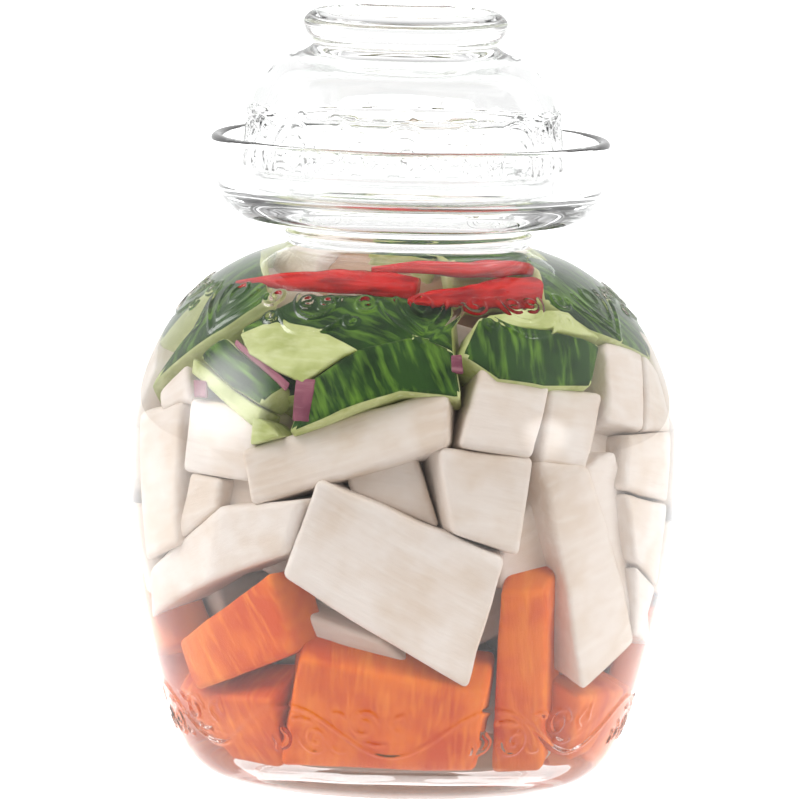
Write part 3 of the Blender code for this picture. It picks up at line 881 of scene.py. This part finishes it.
def flesh_group():
    """Fibres drawn out along the grain, cloudy patches and each piece's own tone."""
    group = bpy.data.node_groups.new("wet_flesh", "ShaderNodeTree")
    for name, kind_of_socket in (
        ("Light", "NodeSocketColor"), ("Dark", "NodeSocketColor"), ("Fibre", "NodeSocketColor"),
        ("Fibre Amount", "NodeSocketFloat"), ("Stretch", "NodeSocketVector"), ("Patch Scale", "NodeSocketFloat"),
    ):
        group.interface.new_socket(name, in_out="INPUT", socket_type=kind_of_socket)
    for name, kind_of_socket in (("Colour", "NodeSocketColor"), ("Height", "NodeSocketFloat")):
        group.interface.new_socket(name, in_out="OUTPUT", socket_type=kind_of_socket)
    nodes, links = group.nodes, group.links
    given, put = nodes.new("NodeGroupInput"), nodes.new("NodeGroupOutput")
    grain_place = nodes.new("ShaderNodeAttribute")
    grain_place.attribute_name = "grain"
    tone_value = nodes.new("ShaderNodeAttribute")
    tone_value.attribute_name = "tone"
    drawn = nodes.new("ShaderNodeVectorMath")
    drawn.operation = "MULTIPLY"
    links.new(grain_place.outputs["Vector"], drawn.inputs[0])
    links.new(given.outputs["Stretch"], drawn.inputs[1])
    fibres = nodes.new("ShaderNodeTexNoise")
    fibres.inputs["Scale"].default_value = 1.0
    fibres.inputs["Detail"].default_value = 4.0
    links.new(drawn.outputs[0], fibres.inputs["Vector"])
    patches = nodes.new("ShaderNodeTexNoise")
    patches.inputs["Detail"].default_value = 3.0
    links.new(grain_place.outputs["Vector"], patches.inputs["Vector"])
    links.new(given.outputs["Patch Scale"], patches.inputs["Scale"])
    patch_share = nodes.new("ShaderNodeMapRange")
    patch_share.inputs["From Min"].default_value = 0.42
    patch_share.inputs["From Max"].default_value = 0.72
    links.new(patches.outputs["Fac"], patch_share.inputs["Value"])
    tone_share = nodes.new("ShaderNodeMath")
    tone_share.operation = "MULTIPLY_ADD"
    tone_share.inputs[1].default_value = 0.45
    tone_share.use_clamp = True
    links.new(tone_value.outputs["Fac"], tone_share.inputs[0])
    links.new(patch_share.outputs[0], tone_share.inputs[2])
    body = nodes.new("ShaderNodeMix")
    body.data_type = "RGBA"
    links.new(tone_share.outputs[0], body.inputs["Factor"])
    links.new(given.outputs["Light"], body.inputs["A"])
    links.new(given.outputs["Dark"], body.inputs["B"])
    fibre_share = nodes.new("ShaderNodeMapRange")
    fibre_share.inputs["From Min"].default_value = 0.48
    fibre_share.inputs["From Max"].default_value = 0.75
    links.new(fibres.outputs["Fac"], fibre_share.inputs["Value"])
    links.new(given.outputs["Fibre Amount"], fibre_share.inputs["To Max"])
    whole = nodes.new("ShaderNodeMix")
    whole.data_type = "RGBA"
    links.new(fibre_share.outputs[0], whole.inputs["Factor"])
    links.new(body.outputs["Result"], whole.inputs["A"])
    links.new(given.outputs["Fibre"], whole.inputs["B"])
    links.new(whole.outputs["Result"], put.inputs["Colour"])
    links.new(fibres.outputs["Fac"], put.inputs["Height"])
    return group


wet_flesh = flesh_group()


def flesh_material(name, light, dark, fibre, amount, stretch, patch_scale, roughness, bump_depth):
    made, nodes, links, shader = new_material(name)
    shader.inputs["Roughness"].default_value = roughness
    shader.inputs["Specular IOR Level"].default_value = WET_GLOSS
    pattern = nodes.new("ShaderNodeGroup")
    pattern.node_tree = wet_flesh
    for socket, value in (("Light", light), ("Dark", dark), ("Fibre", fibre)):
        pattern.inputs[socket].default_value = (*value, 1)
    pattern.inputs["Fibre Amount"].default_value = amount
    pattern.inputs["Stretch"].default_value = stretch
    pattern.inputs["Patch Scale"].default_value = patch_scale
    raised = nodes.new("ShaderNodeBump")
    raised.inputs["Strength"].default_value = 0.6
    raised.inputs["Distance"].default_value = bump_depth
    links.new(pattern.outputs["Colour"], shader.inputs["Base Color"])
    links.new(pattern.outputs["Height"], raised.inputs["Height"])
    links.new(raised.outputs[0], shader.inputs["Normal"])
    return made


radish_flesh = flesh_material(
    "radish_flesh", (0.80, 0.72, 0.66), (0.70, 0.58, 0.48), (0.88, 0.83, 0.78), 0.3, (60, 400, 400), 60, 0.4,
    0.0006,
)
radish = finish_piece("radish_sticks", radish_shape, radish_flesh)
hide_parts("vegetable_heap")

# ---- Carrot chunks ------------------------------------------------------------------------
# Carrot cut into blocks, at the bottom of the jar. The knife leaves fine ridges across them.
CARROT_FACES = {
    "left": (((178, 642), (268, 573)), ((196, 692), (290, 655)), 1.2, 21),
    "bottom": (((300, 659), (486, 692)), ((281, 768), (474, 774)), 1.2, 24),
    "right": (((500, 592, 6), (548, 592, 1)), ((491, 774, 6), (541, 774, 1)), 1.5, 24),
    "low_left": (((178, 690), (272, 700)), ((232, 764), (283, 772)), 2.5, 20),
    "low_right": (((578, 698), (626, 690)), ((566, 764), (590, 752)), 2.5, 20),
}
CARROT_ROWS = ((21, 6), (46, 7))
carrot_draw = random.Random(5)
carrot_shape = new_kind()
for top_row, bottom_row, carrot_gap, carrot_depth in CARROT_FACES.values():
    add_cut_piece(
        carrot_shape, traced(top_row, carrot_gap), traced(bottom_row, carrot_gap), carrot_depth, carrot_draw
    )
for row_height, row_count in CARROT_ROWS:
    add_ring(carrot_shape, row_height, row_count, 1.0, *BEHIND, carrot_draw, cell=4.5)
carrot_flesh = flesh_material(
    "carrot_flesh", (0.86, 0.20, 0.014), (0.62, 0.075, 0.006), (0.92, 0.30, 0.03), 0.6, (500, 60, 70), 60, 0.38,
    0.0006,
)
carrot = finish_piece("carrot_chunks", carrot_shape, carrot_flesh)
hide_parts("vegetable_heap")

# ---- Cucumber pieces ----------------------------------------------------------------------
# Cucumber split lengthways and cut across, with its dark green skin left on. The skin is mottled
# with paler streaks that run along the fruit, over pale yellow-green flesh.
CUCUMBER_SKINS = {
    # corners along the top edge and the bottom edge in pixels, gap, depth, which way the streaks run
    "front": (((307, 383), (359, 350), (418, 335), (455, 350)),
              ((289, 434), (340, 412), (400, 392), (462, 399)), 1.2, 16, (14, 34)),
    "behind_front": (((240, 330), (300, 298), (380, 296), (450, 300)),
                     ((262, 400), (330, 392), (400, 380), (455, 372)), 7.0, 18, (30, 12)),
    "right": (((480, 316), (523, 328), (584, 338), (601, 344)),
              ((462, 354), (498, 380), (543, 389), (592, 387)), 1.2, 18, (4, 34)),
    "left": (((225, 336), (266, 372), (286, 386)), ((199, 357), (231, 388), (262, 407)), 1.5, 14, (30, 28)),
    "left_shoulder": (((196, 328), (232, 268), (262, 250)), ((150, 388), (222, 330), (270, 296)), 1.2, 16, (30, -34)),
    "right_shoulder": (((531, 258), (580, 272), (626, 318)), ((545, 300), (590, 330), (622, 345)), 1.5, 18, (34, 30)),
    "far_right": (((606, 296), (636, 326)), ((618, 342), (650, 360)), 1.0, 16, (20, 20)),
}
CUCUMBER_FLESHES = {
    "leaf": (((240, 334), (271, 321), (314, 327), (359, 350)), ((248, 354), (275, 370), (302, 383), (343, 356)), 1.0, 3),
    "rim": (((193, 357), (231, 389), (262, 408)), ((191, 372), (226, 404), (255, 428)), 1.3, 12),
    "corner": (((252, 416), (268, 424)), ((250, 446), (279, 436)), 1.3, 14),
    "right_top": (((490, 315), (520, 310), (568, 310)), ((482, 324), (523, 327), (600, 338)), 2.0, 12),
}
CUCUMBER_ROWS = ((143, 7),)
CUCUMBER_ON_TOP = ((0, -6, 80), (-16, 26, 110), (24, -14, 20))
cucumber_draw = random.Random(11)
cucumber_shape = new_kind()


def streak_way(corners, gap, way):
    """The direction behind the glass of a short line through the middle of some corner pixels."""
    x = sum(c[0] for c in corners) / len(corners)
    y = sum(c[1] for c in corners) / len(corners)
    ends = [behind_glass(x + s * way[0] / 2, y + s * way[1] / 2, gap) for s in (-1, 1)]
    return (ends[1] - ends[0]).normalized()


for top_row, bottom_row, skin_gap, skin_depth, streaks in CUCUMBER_SKINS.values():
    add_cut_piece(
        cucumber_shape, traced(top_row, skin_gap), traced(bottom_row, skin_gap), skin_depth, cucumber_draw,
        bulge=2.0, skin=True, stripe=streak_way([*top_row, *bottom_row], skin_gap, streaks),
    )
for row_height, row_count in CUCUMBER_ROWS:
    add_ring(cucumber_shape, row_height, row_count, 2.0, *BEHIND, cucumber_draw, cell=4.5, bulge=2.0, skin=True)
add_top_pieces(cucumber_shape, CUCUMBER_ON_TOP, 154.5, cucumber_draw, bulge=1.5, skin=True)
cucumber_skin = flesh_material(
    "cucumber_skin", (0.035, 0.085, 0.02), (0.016, 0.038, 0.012), (0.17, 0.33, 0.04), 0.8, (70, 300, 420), 90, 0.3,
    0.0008,
)
cucumber_flesh = flesh_material(
    "cucumber_flesh", (0.60, 0.64, 0.30), (0.38, 0.42, 0.14), (0.74, 0.76, 0.46), 0.5, (120, 400, 400), 80, 0.35,
    0.0006,
)
cucumber = finish_piece("cucumber_pieces", cucumber_shape, cucumber_skin, cucumber_flesh)
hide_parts("vegetable_heap")

cut_face_shape = new_kind()
for top_row, bottom_row, face_gap, face_depth in CUCUMBER_FLESHES.values():
    add_cut_piece(
        cut_face_shape, traced(top_row, face_gap), traced(bottom_row, face_gap), face_depth, cucumber_draw, edge=0.8
    )
cut_faces = finish_piece("cucumber_slices", cut_face_shape, cucumber_flesh)
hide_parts("vegetable_heap")

# ---- Chillies -----------------------------------------------------------------------------
# Whole ripe chillies, glossy and wrinkled from the brine, that float up under the neck. Each is a closed tube; the
# olive cap and the stump of stalk that each keeps are not made.
CHILLIES = {
    # along the middle of each: pixel across, pixel down, radius in millimetres
    "front": ((236, 282, 0.5), (266, 281, 2.4), (302, 281, 3.6), (340, 281, 4.4), (380, 284, 4.6), (417, 288, 4.4)),
    "right": ((409, 301, 0.8), (432, 299, 2.8), (466, 297, 3.8), (500, 293, 5.2), (530, 291, 5.4), (551, 291, 4.8)),
    "behind": ((372, 270, 1.5), (420, 267, 3.0), (470, 269, 3.6), (520, 267, 3.6), (552, 272, 2.6)),
}
CHILLI_SIDES = 20
CHILLI_STEPS = 10
chilli_draw = random.Random(7)


def add_tube(kind, path, radii, sides, draw, wrinkle):
    """A round piece along a path, made ring by ring, wrinkled and closed at both ends."""
    shape = bmesh.new()
    grain = shape.verts.layers.float_vector.new("grain")
    tone = shape.verts.layers.float.new("tone")
    centres = smooth_curve(path, CHILLI_STEPS)
    spread = np.interp(np.linspace(0, len(radii) - 1, len(centres)), range(len(radii)), radii)
    made = bmesh.ops.create_circle(shape, cap_ends=True, segments=sides, radius=1.0)
    ring = made["verts"]
    turns = [math.atan2(v.co.y, v.co.x) for v in ring]
    edges = list({e for v in ring for e in v.link_edges})
    shift = Vector((draw.uniform(-1, 1), draw.uniform(-1, 1), draw.uniform(-1, 1)))
    piece_tone = draw.random()
    run = 0.0
    for step, centre in enumerate(centres):
        along = (centres[min(step + 1, len(centres) - 1)] - centres[max(step - 1, 0)]).normalized()
        side = along.cross(Vector((0, 0, 1))).normalized()
        rise = side.cross(along)
        if step:
            run += (centre - centres[step - 1]).length
            grown = bmesh.ops.extrude_edge_only(shape, edges=edges)["geom"]
            fresh = [v for v in grown if isinstance(v, bmesh.types.BMVert)]
            edges = [e for e in grown if isinstance(e, bmesh.types.BMEdge)]
            ring = fresh
        for vert, turn in zip(ring, turns):
            out = side * math.cos(turn) + rise * math.sin(turn)
            fold = noise.noise(Vector((run * 130, math.cos(turn) * 1.6, math.sin(turn) * 1.6)) + shift * 7)
            vert.co = centre + out * spread[step] * MM * (1 + wrinkle * fold)
            vert[grain] = Vector((run, out.dot(side) * 0.01, out.dot(rise) * 0.01)) + shift
            vert[tone] = piece_tone
            keep_inside(vert)
    bmesh.ops.contextual_create(shape, geom=edges)
    bmesh.ops.recalc_face_normals(shape, faces=shape.faces)
    join_into(kind, shape)


chilli_shape = new_kind()
for chilli_line in CHILLIES.values():
    middle_line = [behind_glass(x, y, radius + 1.0) for x, y, radius in chilli_line]
    add_tube(chilli_shape, middle_line, [radius for _, _, radius in chilli_line], CHILLI_SIDES, chilli_draw, 0.22)
chilli_skin = flesh_material(
    "chilli_skin", (0.62, 0.016, 0.014), (0.30, 0.008, 0.010), (0.80, 0.05, 0.03), 0.5, (60, 200, 200), 120, 0.18,
    0.0008,
)
chillies = finish_piece("chillies", chilli_shape, chilli_skin)
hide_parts("vegetable_heap")

# ---- Onion slivers ------------------------------------------------------------------------
# Thin bits of red onion, purple outside, caught between the larger pieces.
ONION_BITS = {
    "left": (((193, 379), (206, 380)), ((194, 396), (207, 397)), 1.0, 2.0),
    "middle": (((236, 338), (290, 384)), ((234, 344), (286, 392)), 0.9, 2.0),
    "strip": (((296, 377), (316, 379)), ((291, 420), (308, 421)), 1.0, 2.5),
    "bit": (((451, 355), (463, 354)), ((452, 372), (464, 373)), 1.0, 2.0),
}
onion_draw = random.Random(13)
onion_shape = new_kind()
for top_row, bottom_row, onion_gap, onion_depth in ONION_BITS.values():
    add_cut_piece(
        onion_shape, traced(top_row, onion_gap), traced(bottom_row, onion_gap), onion_depth, onion_draw,
        edge=0.5, cell=2.0,
    )
onion_skin = flesh_material(
    "onion_flesh", (0.34, 0.12, 0.16), (0.16, 0.045, 0.07), (0.55, 0.30, 0.32), 0.6, (60, 500, 500), 90, 0.3, 0.0004
)
onion = finish_piece("onion_slivers", onion_shape, onion_skin)
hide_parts("vegetable_heap")

# ---- Core ---------------------------------------------------------------------------------
# The close-packed vegetables in the middle of the jar, as one body coloured a dark brown that is painted shade, since
# they show only as dim colour in gaps.
CORE_SHARE = 0.45
core_line = [Vector((p[0] * CORE_SHARE, FLOOR_TOP + 1 + (p[1] - FLOOR_TOP) * 0.93)) for p in belly_inside(0, 2)]
core_line = [p for p in core_line if p[1] < 150]
core_shape = turned([*core_line, Vector((0, core_line[-1][1]))], 64)
core_painted_shade, nodes, links, shader = new_material("packed_vegetables_painted_shade")
# Painted shade: a dark brown for the shade in the gaps, not the vegetables' own colour.
shader.inputs["Base Color"].default_value = (0.45, 0.28, 0.18, 1)
shader.inputs["Roughness"].default_value = 0.6
core = finish_piece("packed_core", core_shape, core_painted_shade)
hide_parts("vegetable_heap")

# ---- Lid ----------------------------------------------------------------------------------
# A bowl of the same pressed glass turned upside down over the mouth. Its skirt stands in the
# moat, where water seals it, and a thick ring on top is the knob.
LID_RIM = 180.7
LID_STEP = 189.0
LID_CEILING = 223.0
KNOB_TOP = 237.0
KNOB_DISH = 234.3
LID_SKIRT, LID_BORE = 46.8, 43.6
LID_SHIFT = -2.3


def lid_profile():
    """From the dish in the knob down the outside to the rim, then up the inside to the ceiling."""
    knob = [(21.0, KNOB_DISH), (24.0, KNOB_DISH + 0.6), (27.8, KNOB_TOP), (31.4, 233.6), (30.2, 229.4), (28.4, 226.9)]
    dome = [(30.6, 224.7), (36.9, 222.1), (41.2, 218.4), (45.0, 213.0), (47.4, 206.0), (48.6, 198.0)]
    inside = [(44.3, 192.0), (43.7, 201.0), (41.8, 209.0), (37.0, 216.4), (30.0, 220.6), (20.0, LID_CEILING)]
    edge = (LID_SKIRT - LID_BORE) / 2
    return [
        Vector((0.0, KNOB_DISH)),
        *[Vector((r, KNOB_DISH)) for r in (7.0, 14.0)],
        *smooth_curve([*knob, *dome, (48.8, LID_STEP + 1.2)], 5),
        Vector((48.5, LID_STEP + 0.4)),
        Vector((48.2, LID_STEP)),
        Vector((LID_SKIRT + 0.4, LID_STEP - 0.6)),
        Vector((LID_SKIRT + 0.2, LID_STEP - 1.6)),
        *arc((LID_BORE + edge, LID_RIM + edge), edge, 0, -180, 10),
        *smooth_curve(inside, 5),
        *[Vector((r, LID_CEILING)) for r in (13.0, 6.0, 0.0)],
    ]


ARCH_REPEATS, ARCH_RADIUS, ARCH_TURN = 8, 48.6, 0.5
ARCH_FOOT = 189.6
LID_RIDGE = (0.75, 0.42)


def arch(half_width, height, steps=20):
    return [
        (half_width * math.cos(a), ARCH_FOOT + height * math.sin(a)) for a in np.linspace(0, math.pi, steps)
    ]


arch_pitch = 2 * math.pi * ARCH_RADIUS / ARCH_REPEATS
arch_lines = [
    arch(10.0, 16.0),
    arch(6.8, 11.8),
    spiral((0.4, ARCH_FOOT + 5.6), 3.6, -60, 450),
    *both_hands([
        spiral((13.6, ARCH_FOOT + 11.4), 3.1, 200, -430),
        curve_2d(((11.0, ARCH_FOOT + 2.0), (13.6, ARCH_FOOT + 5.6), (16.8, ARCH_FOOT + 6.4), (18.6, ARCH_FOOT + 9.8))),
        curve_2d(((4.6, ARCH_FOOT + 17.2), (7.2, ARCH_FOOT + 18.8), (10.2, ARCH_FOOT + 17.0), (13.4, ARCH_FOOT + 16.6))),
        curve_2d(((arch_pitch / 2, ARCH_FOOT + 15.4), (17.6, ARCH_FOOT + 14.2), (18.0, ARCH_FOOT + 12.4))),
        curve_2d(((arch_pitch / 2, ARCH_FOOT + 1.2), (17.4, ARCH_FOOT + 3.0), (arch_pitch / 2, ARCH_FOOT + 5.0))),
    ]),
]
lid_outside = [p for p in lid_profile() if p[0] > LID_SKIRT + 1.0 and LID_STEP + 1 < p[1] < 214]
lid_fine = np.array(sorted((p[1], p[0]) for p in lid_outside))[:, ::-1] * MM

lid_shape = turned(lid_profile(), TURNS)
raise_motif(
    lid_shape, lid_fine, ARCH_FOOT, ARCH_FOOT + 20.5, arch_lines, ARCH_RADIUS, ARCH_REPEATS, ARCH_TURN, lambda z: z,
    LID_RIDGE,
)
add_waver(lid_shape, WAVER_HEIGHT, 4.0)
bmesh.ops.triangulate(lid_shape, faces=[f for f in lid_shape.faces if len(f.verts) > 4])
bmesh.ops.translate(lid_shape, vec=(LID_SHIFT * MM, 0, 0), verts=lid_shape.verts)
lid = finish_piece("glass_lid_moulded", lid_shape, clear_material("lid_glass", GLASS_TINT, GLASS_EDGE, GLASS_IOR))
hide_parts("glass_lid")
print("lid faces", len(lid.data.polygons))
